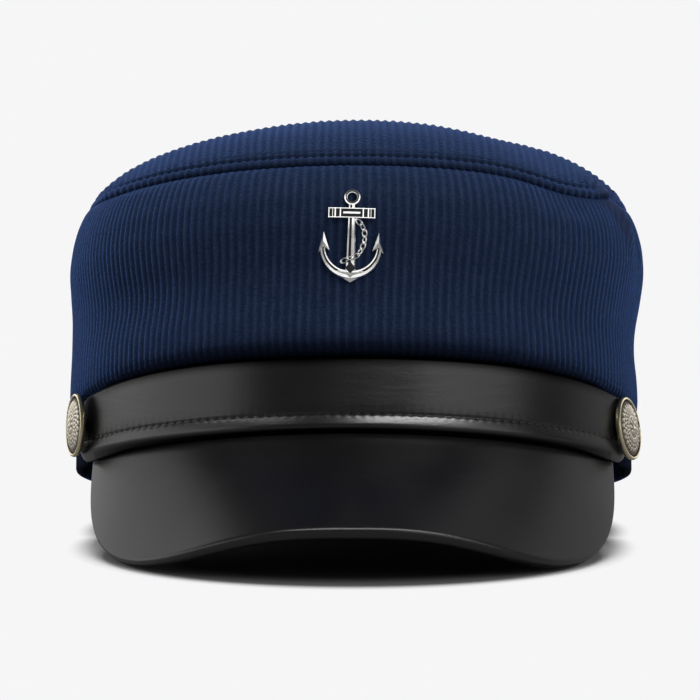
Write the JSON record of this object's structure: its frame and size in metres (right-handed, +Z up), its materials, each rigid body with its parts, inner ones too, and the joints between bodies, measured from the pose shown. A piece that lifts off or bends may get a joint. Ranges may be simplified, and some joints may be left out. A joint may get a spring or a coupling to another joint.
{
  "type": "peaked cap",
  "caption": "Soft round corduroy cap with a stiff curved leather peak, a leather strap over it, a metal button at each end and an anchor badge in front; worn on the head.",
  "frame": {"origin": "on the surface that the cap rests on, under the middle of its overall box; the headband's middle plane is x = 0", "axes": "+Z up, -Y the way the peak points, +X the viewer's right when facing the badge (the wearer's left); the headband's rim is tipped 10.5 degrees about X, its back on the surface and its front raised by the peak"},
  "size_m": [0.1786, 0.2675, 0.1259],
  "materials": {
    "corduroy": "soft navy blue wide-wale corduroy with a pile",
    "leather": "smooth black leather with a soft shine",
    "antique_metal": "worn pale gold over silver, dark in its hollows",
    "silver": "bright silver plate"
  },
  "bodies": {
    "root": {"top_panel": "corduroy", "front_panel": "corduroy", "back_panel": "corduroy", "headband": "corduroy", "strap": "leather", "peak": "leather", "button_left": "antique_metal", "button_right": "antique_metal", "anchor_badge": "silver"}
  },
  "joints": []
}
